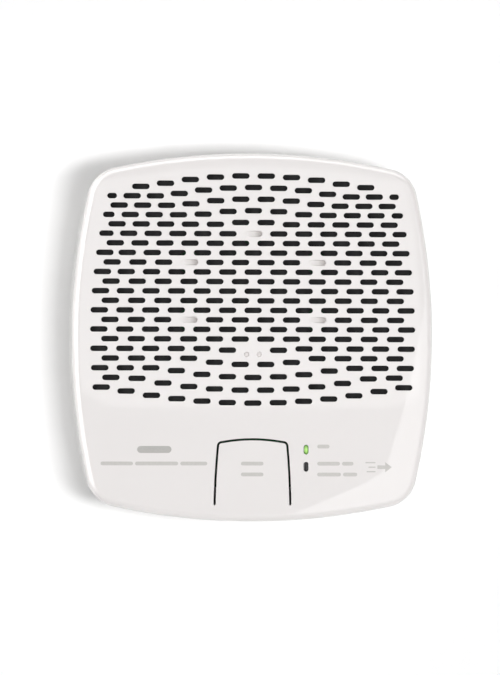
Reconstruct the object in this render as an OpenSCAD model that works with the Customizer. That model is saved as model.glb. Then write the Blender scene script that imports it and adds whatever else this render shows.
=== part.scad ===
// Wall-mounted carbon monoxide alarm with a slotted front, a moulded test button,
// a sprung switch under it, two cells behind a rear door, and a slide-on wall bracket.
// The parts are laid out face up: X to the right, Y up the face, Z out of the wall.
// module upright() then stands the whole alarm up, so that its front faces -Y.

/* [Case] */
// Width across the bulged sides
case_w = 120; // [118:0.5:122]
// Height across the bulged top and bottom
case_h = 122.3; // [120:0.1:124]
// Depth from the wall to the front face
case_d = 38; // [37.5:0.1:39]
// Radius of the four bulged sides
bulge_r = 215; // [205:1:230]
// Radius of the corners seen from the front
corner_r = 11; // [10.5:0.1:12]
// Radius of the front edge
front_edge_r = 2.4; // [1:0.1:3]
// Wall thickness of the front cover
wall_t = 2.2; // [2:0.1:2.4]
// How far the rear housing steps in from the cover
rear_step = 1; // [0.5:0.1:1.4]

/* [Grille] */
// Length of one sound and air slot
slot_w = 5.8; // [5:0.1:6.2]
// Height of one slot
slot_h = 1.8; // [1.4:0.1:2]
// Half the distance between two slots of a row
slot_dx = 4.25; // [4:0.05:4.4]
// Distance between two straight rows
row_dy = 3.175; // [3.1:0.005:3.25]
// Height of the topmost straight row
top_row_y = 34.4; // [33:0.1:35]

/* [Test button] */
// Height of the button's upper edge at its middle
button_top_y = -33.8; // [-34.5:0.1:-33]
// Height of the line that the button bends about
hinge_y = -55.5; // [-56:0.1:-54]
// Half width of the button under its upper corners
button_top_hw = 11.55; // [10.5:0.05:12]
// Half width of the button at its hinge line
button_base_hw = 12.6; // [11.5:0.1:13]
// Width of the gap round the button
button_gap = 0.65; // [0.5:0.05:0.8]

/* [Indicators] */
// Distance of both light windows to the right of the middle
window_x = 17.8; // [17:0.1:22]
// Height of the power light window
power_y = -37.2; // [-38:0.1:-36]
// Height of the alarm light window
alarm_y = -42.9; // [-44:0.1:-42.5]

/* [Battery bay] */
// Diameter of a cell
cell_d = 14.5; // [14:0.1:14.5]
// Overall length of a cell
cell_l = 50.5; // [49.5:0.1:50.5]
// Height of the upper cell's axis
upper_cell_y = -2.2; // [-2.4:0.1:-2]
// Distance between the two cells' axes
cell_pitch = 15; // [14.8:0.1:15]

/* [Wall bracket] */
// Outer width and height of the bracket plate
bracket_w = 84; // [82:1:84]
// Width and height of the bracket's opening
bracket_open = 64; // [62:1:64]
// Distance between the two wall screw holes
screw_spacing = 74; // [74:0.5:75]
// Radius of a wall screw hole
screw_hole_r = 2.25; // [2:0.05:2.4]
// How far the alarm is lifted to come off its hooks
lift_travel = 5; // [5:0.1:5.5]

/* [Hidden] */
$fn = 64;
EDGE_STEPS = 7;  // steps across a rounded case edge
SIDE_STEPS = 6;  // facets along half a side, or along a corner
EPS = 0.01;      // overlap that joins two solids
CUT = 1;         // how far a cutting tool runs past a face

// Levels out of the wall
plate_t = 2;                             // bracket plate
floor_z = plate_t + 0.3;                 // outer face of the rear housing
floor_t = 2;
floor_in = floor_z + floor_t;            // inner face of the rear housing
seam_z = 8;                              // where cover and rear housing meet
lip_z = 13;                              // top of the housing's locating lip
front_in = case_d - wall_t;              // inner face of the front
board_t = 1.6;
board_z = 24;
board_top = board_z + board_t;
screen_z = front_in - 0.5;
screen_t = 0.4;

// Outline: four large arcs and four corner arcs, tangent to each other
side_cx = case_w / 2 - bulge_r;          // the right-hand arc is centred on [side_cx, 0]
top_cy = case_h / 2 - bulge_r;           // the upper arc is centred on [0, top_cy]
arc_span = norm([side_cx, top_cy]);
arc_lift = sqrt(pow(bulge_r - corner_r, 2) - arc_span * arc_span / 4);
corner_c = [side_cx / 2 - arc_lift * top_cy / arc_span,
            top_cy / 2 - arc_lift * side_cx / arc_span];
side_a = atan2(corner_c.y, corner_c.x - side_cx);
top_a = atan2(corner_c.x, corner_c.y - top_cy);

// Posts and screws
boss_rows = [3, 9];                      // the straight rows that hide the board's posts
boss_col = 5;                            // and the columns
boss_x = boss_col * slot_dx;
third_post = [0, top_row_y];             // holds the board's top edge without a screw
boss_r = 3.5;
lower_boss = [44.5, -45.5];
lower_boss_r = 4;
pad_top = 10;
tongue_x = 22;                           // two tongues hold the top edge of the housing
tongue_y = 58.4;

// Test button and switch
button_corner_r = 1.3;
button_crown_r = 55;
button_side_sag = 0.18;
hinge_gap = 0.3;
hinge_web_t = 0.8;
switch_y = -45.5;
switch_h = 3.5;
plunger_r = 1.75;
plunger_top = 33.9;

// Battery bay
bay_hw = 27.6;
bay_t = 1.2;
bay_top_y = 5.6;
bay_bottom_y = -25.2;
bay_roof_z = 20.9;
cell_z = 12.95;
nub_l = 1;
contact_t = 0.4;
tab_w = 2.4;
door_pin = [8, 4.5];                     // Y and Z of the door's hinge axis
knuckle_r = 2.2;
door_pin_r = 1.2;
run_clear = 0.05;                        // radial play of a running pin
swing_clear = 0.3;                       // play round a piece that swings or slides
door_hw = bay_hw - swing_clear;
cell_end = bay_hw - contact_t;           // where a cell's positive end touches its contact

// Conical contact springs
spring_turns = 3;
spring_steps = 16;
spring_wire_r = 0.32;
wire_sides = 6;

// Places on the board
sounder_c = [0, 13.2];
sounder_r = 17;
sensor_c = [29, -29.5];
chip_c = [-24, -36];

// Bracket hooks
hook_x = screw_spacing / 2;
hook_ys = [20, -24];                     // lower edge of each pair of hooks
hook_w = 8;
hook_stem = 2;
hook_lip = 4;
hook_t = 1.5;

// ---------------------------------------------------------------- shared shapes

module upright() {
    rotate([90, 0, 0]) children();
}

module four_corners() {
    for (sx = [0, 1], sy = [0, 1])
        mirror([sx, 0, 0]) mirror([0, sy, 0]) children();
}

// A quarter of the case's outline, moved inwards by inset, from the X axis to the Y axis
function outline_quarter(inset) = let (r = bulge_r - inset, rc = corner_r - inset) concat(
    [for (n = [0 : SIDE_STEPS]) let (a = side_a * n / SIDE_STEPS)
        [side_cx + r * cos(a), r * sin(a)]],
    [for (n = [1 : SIDE_STEPS - 1]) let (a = side_a + (90 - top_a - side_a) * n / SIDE_STEPS)
        corner_c + rc * [cos(a), sin(a)]],
    [for (n = [0 : SIDE_STEPS]) let (a = 90 - top_a + top_a * n / SIDE_STEPS)
        [r * cos(a), top_cy + r * sin(a)]]);

module outline_2d(inset) {
    right = outline_quarter(inset);
    upper = concat(right, [for (n = [len(right) - 2 : -1 : 0]) [-right[n].x, right[n].y]]);
    polygon(concat(upper, [for (n = [len(upper) - 2 : -1 : 1]) [upper[n].x, -upper[n].y]]));
}

module case_prism(inset, z0, z1) {
    translate([0, 0, z0]) linear_extrude(z1 - z0) outline_2d(inset);
}

// The case's outer form: nested prisms, each narrower and longer, make its rounded edges
module case_solid(inset, z0, z1, front_r, back_r) {
    case_prism(inset, z0 + back_r, z1 - front_r);
    for (n = [1 : EDGE_STEPS]) {
        draw_in = 1 - cos(90 * (n - 0.5) / EDGE_STEPS);
        reach = 1 - sin(90 * n / EDGE_STEPS);
        if (front_r > 0) case_prism(inset + front_r * draw_in, z0 + back_r, z1 - front_r * reach);
        if (back_r > 0) case_prism(inset + back_r * draw_in, z0 + back_r * reach, z1 - front_r);
    }
}

// A round-ended bar lying along X (2D), w long and h high
module stadium(w, h) {
    square([w - h, h], center = true);
    for (s = [-1, 1]) translate([s * (w - h) / 2, 0]) circle(d = h, $fn = 32);
}

module round_rect(w, h, r) {
    square([w - 2 * r, h], center = true);
    square([w, h - 2 * r], center = true);
    for (sx = [-1, 1], sy = [-1, 1])
        translate([sx * (w / 2 - r), sy * (h / 2 - r)]) circle(r = r);
}

module round_block(w, h, r, z0, z1) {
    translate([0, 0, z0]) linear_extrude(z1 - z0) round_rect(w, h, r);
}

module rod(r, z0, z1) {
    translate([0, 0, z0]) cylinder(r = r, h = z1 - z0);
}

module rod_x(r, x0, x1) {
    translate([x0, 0, 0]) rotate([0, 90, 0]) cylinder(r = r, h = x1 - x0);
}

// A block from one corner to the opposite one
module block(a, b) {
    translate(a) cube(b - a);
}

// ---------------------------------------------------------------- slot field

// The outer ends of the slots follow this shallow arc
function edge_x(y) = 54.1 - pow(y - 1.3, 2) / 372;
// The outermost slots start here, so those near the top are shorter
function last_slot_x(y) = 46.4 - 0.12 * max(0, y - 38);
// Columns draw inwards towards the top and bottom of the field, and less so in the topmost row
function pull_in(y, k) = y > 49.9 ? 1.45
    : -0.5 + 3.3 * pow((y - 3) / 43.8, 2) + (k % 2 == 0 ? 0.35 : y > 28 ? 0.2 : -0.45);
function column_x(y, k) = k * slot_dx - sign(k) * pull_in(y, k) * pow(k / 12, 2);
// Rows above and below the straight ones fan out over the middle
function upper_fan_y(j, x) =
    max(top_row_y + 3.85 * j - x * x / (160 + 36 * j), top_row_y + 3.11 * j);
low_row_y = top_row_y - 11 * row_dy;
function lower_fan_y(j, x) =
    min(low_row_y - 4.25 * j + x * x / (46 + 83 * j), low_row_y - 3.21 * j);
function straight_y(i) = top_row_y - row_dy * i;
function is_blind(i, k) = (i == 0 && k == 0) || (len(search(i, boss_rows)) > 0 && abs(k) == boss_col);

module slot_at(y, k) {
    if (abs(k) == 12) {
        x1 = edge_x(y);
        x0 = max(x1 - slot_w, last_slot_x(y));
        translate([sign(k) * (x0 + x1) / 2, y]) stadium(x1 - x0, slot_h);
    } else {
        translate([column_x(y, k), y]) stadium(slot_w, slot_h);
    }
}

module slot_field() {
    for (i = [0 : 11], k = [-12 : 12])
        if (abs(k) % 2 == i % 2 && !is_blind(i, k)) slot_at(straight_y(i), k);
    for (j = [1 : 5], k = [-12 : 12])
        if (abs(k) % 2 == j % 2 && !(j == 5 && abs(k) > 9))
            slot_at(upper_fan_y(j, k * slot_dx), k);
    for (j = [1 : 5], k = [-12 : 12])
        if (abs(k) % 2 != j % 2 && !(j == 1 && k == 0))
            slot_at(lower_fan_y(j, k * slot_dx), k);
}

// Shallow slots that hide the posts behind the front
module blind_slots() {
    slot_at(top_row_y, 0);
    for (i = boss_rows, k = [-boss_col, boss_col]) slot_at(straight_y(i), k);
}

module board_posts() {
    for (i = boss_rows, s = [-1, 1]) translate([s * boss_x, straight_y(i), 0]) children();
}

module lower_posts() {
    for (s = [-1, 1]) translate([s * lower_boss.x, lower_boss.y, 0]) children();
}

// Tongues on the housing's lip, and with some play the pockets they fit in the cover
module top_tongues(play) {
    for (s = [-1, 1])
        block([s * tongue_x - 5 - play, 56.9, 9.5 - play],
              [s * tongue_x + 5 + play, tongue_y + play, 12 + play]);
}

// ---------------------------------------------------------------- button outline

button_shoulder_y = button_top_y - 2.25;
function button_side_x(t) =
    button_base_hw + (button_top_hw - button_base_hw) * t + 4 * button_side_sag * t * (1 - t);
button_corner_a = 90 - asin((button_top_hw - button_corner_r) / (button_crown_r - button_corner_r));

// The button's right half from the hinge line to the top, moved outwards by grow
function button_half(grow, base_y) = concat(
    [[button_base_hw + grow, base_y]],
    [for (n = [1 : 8]) [button_side_x(n / 8) + grow,
                        hinge_y + (button_shoulder_y - hinge_y) * n / 8]],
    [for (n = [1 : 5]) let (a = button_corner_a * n / 5)
        [button_top_hw - button_corner_r + (button_corner_r + grow) * cos(a),
         button_shoulder_y + (button_corner_r + grow) * sin(a)]],
    [for (n = [1 : 6]) let (a = button_corner_a + (90 - button_corner_a) * n / 6)
        [(button_crown_r + grow) * cos(a),
         button_top_y - button_crown_r + (button_crown_r + grow) * sin(a)]]);
function mirrored(points) = [for (n = [len(points) - 2 : -1 : 0]) [-points[n].x, points[n].y]];
module button_2d(grow, base_y) {
    half = button_half(grow, base_y);
    polygon(concat(half, mirrored(half)));
}

// ---------------------------------------------------------------- case parts

module front_cover() color([0.94, 0.94, 0.93]) upright() difference() {
    union() {
        difference() {
            case_solid(0, seam_z, case_d, front_edge_r, 0);
            case_prism(wall_t, seam_z - CUT, front_in);
        }
        board_posts() rod(boss_r, board_top, front_in + EPS);
        lower_posts() rod(lower_boss_r, pad_top, front_in + EPS);
        translate(third_post) {
            rod(boss_r, board_top, front_in + EPS);
            rod(1.5, board_z - 0.8, board_top + EPS);
        }
    }
    translate([0, 0, front_in - CUT]) linear_extrude(wall_t + 2 * CUT) slot_field();
    translate([0, 0, case_d - 0.6]) linear_extrude(CUT) blind_slots();
    for (s = [-1, 1]) translate([s * 2.1, -5.6, 0]) rod(0.75, case_d - 0.6, case_d + CUT);
    translate([0, 0, front_in - CUT]) linear_extrude(wall_t + 2 * CUT)
        button_2d(button_gap / 2, hinge_y - hinge_gap / 2);
    for (y = [power_y, alarm_y])
        translate([window_x, y, front_in - CUT]) linear_extrude(wall_t + 2 * CUT)
            rotate(90) stadium(3.2, 1.6);
    board_posts() rod(1.2, board_top - CUT, 33.6);
    lower_posts() rod(1.5, pad_top - CUT, 24);
    top_tongues(0.2);
}

module button_hinge_web() color([0.94, 0.94, 0.93]) upright()
    block([-button_base_hw + 0.4, hinge_y - hinge_gap / 2, case_d - hinge_web_t],
          [button_base_hw - 0.4, hinge_y + hinge_gap / 2, case_d]);

module test_button() color([0.95, 0.95, 0.94]) upright() {
    translate([0, 0, front_in]) linear_extrude(wall_t)
        button_2d(-button_gap / 2, hinge_y + hinge_gap / 2);
    translate([0, switch_y, 0]) rod(2.2, plunger_top + 0.1, front_in + EPS);
    for (s = [-1, 1]) block([s * 7 - 0.6, -53, front_in - 1], [s * 7 + 0.6, -37.5, front_in + EPS]);
}

module dust_screen() color([0.12, 0.12, 0.12]) upright() difference() {
    intersection() {
        case_prism(4.6, screen_z, screen_z + screen_t);
        block([-60, -27, 0], [60, 60, case_d]);
    }
    board_posts() rod(boss_r + 0.3, 0, case_d);
    translate(third_post) rod(boss_r + 0.3, 0, case_d);
}

module rear_housing() color([0.90, 0.90, 0.89]) upright() difference() {
    union() {
        difference() {
            union() {
                case_solid(rear_step, floor_z, seam_z, 0, 1.5);
                case_prism(wall_t + 0.15, seam_z - 1, lip_z);
            }
            case_prism(wall_t + 1.65, floor_in, lip_z + CUT);
        }
        lower_posts() rod(4.8, floor_in - EPS, pad_top);
        top_tongues(0);
        for (s = [-1, 1]) screw_head_dome(s * screw_spacing / 2, 6.2, floor_z, 6.8);
        battery_bay();
    }
    lower_posts() {
        rod(3.3, floor_z - CUT, 4.8);
        rod(1.7, 4, pad_top + CUT);
    }
    for (s = [-1, 1]) screw_head_dome(s * screw_spacing / 2, 5, floor_z - CUT, 5.6);
    for (s = [-1, 1], y = hook_ys)
        block([s * hook_x - hook_w / 2 - swing_clear, y - lift_travel - swing_clear, floor_z - CUT],
              [s * hook_x + hook_w / 2 + swing_clear, y + hook_stem + swing_clear, floor_in + CUT]);
    battery_bay_cuts();
}

// Room over a wall screw's head, long enough for the alarm to slide past it
module screw_head_dome(x, r, z0, z1) {
    translate([x, 0, 0]) rod(r, z0, z1);
    translate([x, -lift_travel, 0]) rod(r, z0, z1);
    block([x - r, -lift_travel, z0], [x + r, 0, z1]);
}

module battery_bay() {
    block([-bay_hw - bay_t, bay_bottom_y - bay_t, floor_z],
          [bay_hw + bay_t, bay_top_y + bay_t, bay_roof_z + bay_t - 0.1]);
    for (s = [0, 1]) mirror([s, 0, 0]) block([bay_hw, 5, floor_z], [31, 11, 7.5]);
}

module battery_bay_cuts() {
    block([-bay_hw, bay_bottom_y, floor_z - CUT], [bay_hw, bay_top_y, bay_roof_z]);
    block([-bay_hw, 0, floor_z - CUT], [bay_hw, door_pin.x + knuckle_r + swing_clear, floor_in + EPS]);
    translate([0, door_pin.x, door_pin.y]) {
        rod_x(knuckle_r + swing_clear, -bay_hw, bay_hw);
        rod_x(door_pin_r + run_clear, -30, 30);
    }
    for (y = [upper_cell_y, upper_cell_y - cell_pitch])
        block([bay_hw - contact_t - 0.1, y - tab_w / 2 - 0.2, bay_roof_z - CUT],
              [bay_hw, y + tab_w / 2 + 0.2, bay_roof_z + bay_t + CUT]);
}

module battery_door() color([0.90, 0.90, 0.89]) upright() {
    difference() {
        union() {
            block([-door_hw, bay_bottom_y + swing_clear, floor_z], [door_hw, door_pin.x, floor_in]);
            for (s = [-1, 1])
                block([s * 14 - 0.6, bay_bottom_y + 2, floor_in - EPS],
                      [s * 14 + 0.6, door_pin.x - 5, floor_in + 1.1]);
        }
        translate([0, bay_bottom_y + 4.5, floor_z - 5.2]) sphere(r = 6.6);
        for (n = [0 : 3])
            block([-9, bay_bottom_y + 13 + 2.4 * n, floor_z - CUT],
                  [9, bay_bottom_y + 14 + 2.4 * n, floor_z + 0.4]);
    }
    translate([0, door_pin.x, door_pin.y]) {
        rod_x(knuckle_r, -door_hw, door_hw);
        rod_x(door_pin_r, -29.7, 29.7);
    }
}

module wall_bracket() color([0.88, 0.88, 0.87]) upright() {
    difference() {
        round_block(bracket_w, bracket_w, 8, 0, plate_t);
        round_block(bracket_open, bracket_open, 4, -CUT, plate_t + CUT);
        for (s = [-1, 1]) translate([s * screw_spacing / 2, 0, 0])
            rod(screw_hole_r, -CUT, plate_t + CUT);
        translate([0, 34.2, plate_t - 0.5]) linear_extrude(CUT) {
            polygon([[-3, 0.8], [3, 0.8], [0, 4.6]]);
            translate([-1, -0.8]) square([2, 1.8]);
        }
    }
    for (s = [-1, 1], y = hook_ys) {
        block([s * hook_x - hook_w / 2, y, plate_t - EPS],
              [s * hook_x + hook_w / 2, y + hook_stem, floor_in + swing_clear + hook_t]);
        block([s * hook_x - hook_w / 2, y, floor_in + swing_clear],
              [s * hook_x + hook_w / 2, y + hook_stem + hook_lip, floor_in + swing_clear + hook_t]);
    }
}

module rating_label() color([0.80, 0.80, 0.80]) upright()
    translate([0, 21.5, 0]) round_block(54, 17, 1.5, floor_z - 0.1, floor_z);

// ---------------------------------------------------------------- lights and switch

module light_pipe(y) upright() translate([window_x, y, 0]) {
    translate([0, 0, 31.2]) linear_extrude(case_d - 0.1 - 31.2) rotate(90) stadium(3.1, 1.5);
    translate([0, 0, 35]) linear_extrude(front_in - 35) rotate(90) stadium(4.8, 3);
}

module power_light_pipe() color([0.55, 0.85, 0.35]) light_pipe(power_y);
module alarm_light_pipe() color([0.15, 0.05, 0.05]) light_pipe(alarm_y);

module led(y) upright() translate([window_x, y, 0]) {
    rod(1.9, board_top, board_top + 0.9);
    rod(1.5, board_top, board_top + 3.6);
    translate([0, 0, board_top + 3.6]) sphere(r = 1.5);
}

module power_led() color([0.5, 0.9, 0.4]) led(power_y);
module alarm_led() color([0.7, 0.1, 0.1]) led(alarm_y);

module test_switch_body() color([0.15, 0.15, 0.15]) upright() translate([0, switch_y, 0])
    difference() {
        block([-3, -3, board_top], [3, 3, board_top + switch_h]);
        rod(plunger_r + run_clear, board_top + 1, board_top + switch_h + CUT);
        four_corners() translate([2.2, 2.2, 0])
            rod(0.45, board_top + switch_h - 0.3, board_top + switch_h + CUT);
    }

module test_switch_plunger() color([0.85, 0.2, 0.15]) upright() translate([0, switch_y, 0]) {
    rod(plunger_r, board_top + 1.9, plunger_top - 0.3);
    rod(plunger_r - 0.25, plunger_top - 0.4, plunger_top);
}

// ---------------------------------------------------------------- board and its components

module circuit_board() color([0.10, 0.35, 0.18]) upright() difference() {
    translate([0, -4, 0]) round_block(80, 92, 3, board_z, board_top);
    board_posts() rod(1.4, board_z - CUT, board_top + CUT);
    translate(third_post) rod(1.6, board_z - CUT, board_top + CUT);
    for (y = [upper_cell_y, upper_cell_y - cell_pitch])
        block([bay_hw - contact_t - 0.2, y - tab_w / 2 - 0.2, board_z - CUT],
              [bay_hw + 0.2, y + tab_w / 2 + 0.2, board_top + CUT]);
    translate(sensor_c) sensor_pin_places() rod(0.55, board_z - CUT, board_top + CUT);
}

module sounder_base() color([0.18, 0.18, 0.18]) upright() translate(sounder_c)
    difference() {
        rod(sounder_r, board_top, 32);
        rod(sounder_r - 1.2, board_top + 1.2, 33);
        rod(3, board_top - CUT, board_top + 2);
    }

module piezo_plate() color([0.80, 0.65, 0.30]) upright() translate(sounder_c)
    rod(sounder_r - 1.25, 30.2, 30.4);

module piezo_ceramic() color([0.90, 0.88, 0.80]) upright() translate(sounder_c)
    rod(11, 29.95, 30.2);

module sounder_cap() color([0.18, 0.18, 0.18]) upright() translate(sounder_c)
    difference() {
        union() {
            rod(sounder_r, 32, 33.4);
            rod(5, 33.4 - EPS, 34.8);
        }
        rod(3.5, 31, 36);
        difference() {
            rod(sounder_r - 2, 31, 32.4);
            rod(5, 30, 33);
        }
    }

module sensor_pin_places() {
    for (a = [90, 210, 330]) rotate(a) translate([6, 0, 0]) children();
}

module sensor_cell() color([0.75, 0.76, 0.78]) upright() translate(sensor_c) {
    rod(10, board_top + 0.6, 33.4);
    rod(9.2, board_top + 0.2, board_top + 0.7);
}

module sensor_cap() color([0.92, 0.92, 0.90]) upright() translate(sensor_c)
    difference() {
        rod(9.4, 33.4, 35);
        rod(1.1, 33, 36);
        for (a = [0 : 60 : 300]) rotate(a) translate([5, 0, 0]) rod(0.9, 33, 36);
    }

module sensor_pins() color([0.85, 0.75, 0.40]) upright() translate(sensor_c)
    sensor_pin_places() rod(0.5, 22.5, board_top + 0.2);

module controller_chip() color([0.10, 0.10, 0.11]) upright() translate(chip_c)
    difference() {
        block([-4.5, -4.5, board_top + 0.2], [4.5, 4.5, board_top + 1.6]);
        translate([-3.4, 3.4, 0]) rod(0.5, board_top + 1.4, board_top + 3);
    }

module chip_legs() color([0.80, 0.80, 0.80]) upright() translate(chip_c)
    for (a = [0 : 90 : 270], n = [-3 : 3]) rotate(a)
        block([4.5, n - 0.2, board_top], [5.9, n + 0.2, board_top + 0.2]);

module capacitors() color([0.20, 0.22, 0.30]) upright()
    for (y = [-9, -20]) translate([-27, y, 0]) {
        rod(4, board_top + 0.3, board_top + 9);
        rod(3.7, board_top, board_top + 0.4);
        rod(3.3, board_top + 9 - EPS, board_top + 9.3);
    }

module boost_inductor() color([0.25, 0.25, 0.26]) upright() translate([-32.5, 16, 0]) difference() {
    round_block(12, 12, 2, board_top, board_top + 7);
    difference() {
        rod(4.6, board_top + 5.8, board_top + 8);
        rod(3.6, board_top, board_top + 9);
    }
}

module chip_resistors() color([0.15, 0.15, 0.16]) upright()
    for (col = [0 : 2], row = [0 : 2])
        translate([29.5 + 3.2 * col, -8 - 4.5 * row, board_top]) cube([1.6, 3.2, 0.6]);

module timing_crystal() color([0.78, 0.79, 0.80]) upright() translate([-24, -46, board_top])
    linear_extrude(3.5) stadium(11, 4.6);

// ---------------------------------------------------------------- cells and contacts

// The upper cell points right and the lower one left
module each_cell() {
    translate([0, upper_cell_y, cell_z]) children();
    translate([0, upper_cell_y - cell_pitch, cell_z]) mirror([1, 0, 0]) children();
}

module battery_cells() color([0.20, 0.28, 0.45]) upright() each_cell()
    rod_x(cell_d / 2, cell_end - cell_l, cell_end - nub_l);

module battery_caps() color([0.85, 0.85, 0.85]) upright() each_cell()
    rod_x(2.7, cell_end - nub_l, cell_end);

module contact_plate(y0, y1, tab_y) {
    block([bay_hw - contact_t, y0, cell_z - 5], [bay_hw, y1, cell_z + 5]);
    if (tab_y != 0)
        block([bay_hw - contact_t, tab_y - tab_w / 2, cell_z],
              [bay_hw, tab_y + tab_w / 2, board_top + 0.6]);
}

module positive_contact() color([0.82, 0.82, 0.80]) upright()
    contact_plate(upper_cell_y - 5, upper_cell_y + 5, upper_cell_y);

module negative_contact() color([0.82, 0.82, 0.80]) upright()
    contact_plate(upper_cell_y - cell_pitch - 5, upper_cell_y - cell_pitch + 5,
                  upper_cell_y - cell_pitch);

module contact_link() color([0.82, 0.82, 0.80]) upright() mirror([1, 0, 0])
    contact_plate(upper_cell_y - cell_pitch - 5, upper_cell_y + 5, 0);

// Conical spring, as a wire swept round a helix from x0 to x1
function spring_point(t, x0, x1) = let (a = 360 * spring_turns * t, r = 4.6 - 2.1 * t)
    [x0 + (x1 - x0) * t, r * cos(a), r * sin(a)];
function wire_ring(t, x0, x1) = let (a = 360 * spring_turns * t, c = spring_point(t, x0, x1))
    [for (n = [0 : wire_sides - 1]) let (b = 360 * n / wire_sides)
        c + spring_wire_r * [sin(b), cos(b) * cos(a), cos(b) * sin(a)]];
module spring(x0, x1) {
    rings = spring_turns * spring_steps;
    points = [for (i = [0 : rings]) each wire_ring(i / rings, x0, x1)];
    sides = [for (i = [0 : rings - 1], n = [0 : wire_sides - 1]) let (m = (n + 1) % wire_sides)
        [i * wire_sides + n, i * wire_sides + m, (i + 1) * wire_sides + m, (i + 1) * wire_sides + n]];
    ends = [[for (n = [wire_sides - 1 : -1 : 0]) n],
            [for (n = [0 : wire_sides - 1]) rings * wire_sides + n]];
    polyhedron(points, concat(sides, ends));
}

module contact_springs() color([0.82, 0.82, 0.80]) upright() each_cell()
    spring(-cell_end + spring_wire_r, cell_end - cell_l - spring_wire_r - 0.05);

// ---------------------------------------------------------------- screws

module cross_recess(z, w) {
    for (a = [0, 90]) rotate(a) block([-w, -0.4, z - 0.1 - CUT], [w, 0.4, z + 1]);
}

module housing_screws() color([0.62, 0.63, 0.65]) upright() lower_posts() difference() {
    union() {
        rod(3, 2.6, 4.8);
        rod(1.45, 4.8 - EPS, 22);
    }
    cross_recess(2.6, 1.7);
}

module board_screws() color([0.62, 0.63, 0.65]) upright() board_posts() difference() {
    union() {
        rod(2.6, 22.5, board_z);
        rod(1.15, board_z - EPS, 33);
    }
    cross_recess(22.5, 1.5);
}

front_cover();
button_hinge_web();
test_button();
dust_screen();
power_light_pipe();
alarm_light_pipe();
circuit_board();
power_led();
alarm_led();
test_switch_body();
test_switch_plunger();
sounder_base();
sounder_cap();
piezo_plate();
piezo_ceramic();
sensor_cell();
sensor_cap();
sensor_pins();
controller_chip();
chip_legs();
capacitors();
boost_inductor();
chip_resistors();
timing_crystal();
rear_housing();
battery_door();
battery_cells();
battery_caps();
positive_contact();
negative_contact();
contact_link();
contact_springs();
housing_screws();
board_screws();
wall_bracket();
rating_label();
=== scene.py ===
"""Looks of the wall carbon monoxide alarm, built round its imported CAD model.

Face coordinates are in millimetres as in the design: x to the right, y up the face, z out of the wall.
to_row() turns them into the row frame, in metres, where the front faces -Y.
"""
import math

import bpy
import numpy as np
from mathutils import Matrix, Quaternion, Vector
from mathutils.geometry import delaunay_2d_cdt


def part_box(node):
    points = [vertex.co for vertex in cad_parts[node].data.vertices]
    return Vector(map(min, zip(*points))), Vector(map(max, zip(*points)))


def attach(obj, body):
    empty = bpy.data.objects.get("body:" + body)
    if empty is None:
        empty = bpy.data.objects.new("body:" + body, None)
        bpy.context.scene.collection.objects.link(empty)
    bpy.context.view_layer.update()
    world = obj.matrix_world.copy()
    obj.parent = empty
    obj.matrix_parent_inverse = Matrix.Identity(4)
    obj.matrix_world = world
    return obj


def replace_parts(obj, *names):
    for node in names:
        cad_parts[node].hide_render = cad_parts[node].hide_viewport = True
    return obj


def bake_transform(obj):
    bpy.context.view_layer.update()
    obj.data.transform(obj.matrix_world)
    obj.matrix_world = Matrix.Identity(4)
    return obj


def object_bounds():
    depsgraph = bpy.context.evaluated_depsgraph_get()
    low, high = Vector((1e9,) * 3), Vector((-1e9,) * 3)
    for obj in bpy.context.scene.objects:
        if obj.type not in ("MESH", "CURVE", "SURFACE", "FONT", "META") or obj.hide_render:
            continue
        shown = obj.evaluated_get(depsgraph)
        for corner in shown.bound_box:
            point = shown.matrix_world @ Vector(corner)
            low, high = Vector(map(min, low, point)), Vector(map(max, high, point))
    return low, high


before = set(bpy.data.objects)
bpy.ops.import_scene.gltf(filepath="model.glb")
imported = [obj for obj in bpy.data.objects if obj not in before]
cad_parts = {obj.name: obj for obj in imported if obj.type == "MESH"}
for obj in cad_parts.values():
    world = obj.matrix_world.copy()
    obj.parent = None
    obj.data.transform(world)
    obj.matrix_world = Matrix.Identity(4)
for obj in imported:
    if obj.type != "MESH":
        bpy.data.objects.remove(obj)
cad_low, cad_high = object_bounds()
middle = (cad_low + cad_high) / 2

MM = 0.001


def face_box(node):
    """A node's lowest and highest corners in face coordinates."""
    low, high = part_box(node)
    return (Vector((low.x, low.z, -high.y)) / MM, Vector((high.x, high.z, -low.y)) / MM)


COVER_LOW, COVER_HIGH = face_box("front_cover")
WEB_LOW, WEB_HIGH = face_box("button_hinge_web")

# Case
CASE_W = COVER_HIGH.x - COVER_LOW.x
CASE_H = COVER_HIGH.y - COVER_LOW.y
FRONT_Z = COVER_HIGH.z
SEAM_Z = COVER_LOW.z
WALL_T = 2.2
BULGE_R = 215
CORNER_R = 11
FRONT_EDGE_R = 2.4
BACK_EDGE_R = 0.4
CROWN_H = 0.3        # how far the face drops towards its edge
CROWN_W = 11.0       # over this width
FRONT_EDGE_STEPS, BACK_EDGE_STEPS = 9, 4
INNER_STEP = 0.1     # the inside wall starts this far behind the underside of the face

# Slot field
SLOT_W, SLOT_H = 5.8, 1.8
SLOT_DX, ROW_DY = 4.25, 3.175
TOP_ROW_Y = 34.4
STRAIGHT_ROWS, FAN_ROWS = 12, 5
LOW_ROW_Y = TOP_ROW_Y - (STRAIGHT_ROWS - 1) * ROW_DY
LAST_COLUMN = 12
TOPMOST_LAST_COLUMN = 9
BOSS_ROWS, BOSS_COLUMN = (3, 9), 5      # slots over the board's posts are blind
EDGE_X, EDGE_Y, EDGE_ARC_R = 54.1, 1.3, 186             # the arc of the slots' outer ends
LAST_SLOT_X, SHORTER_ABOVE, SHORTER_RATE = 46.4, 38, 0.12
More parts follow.
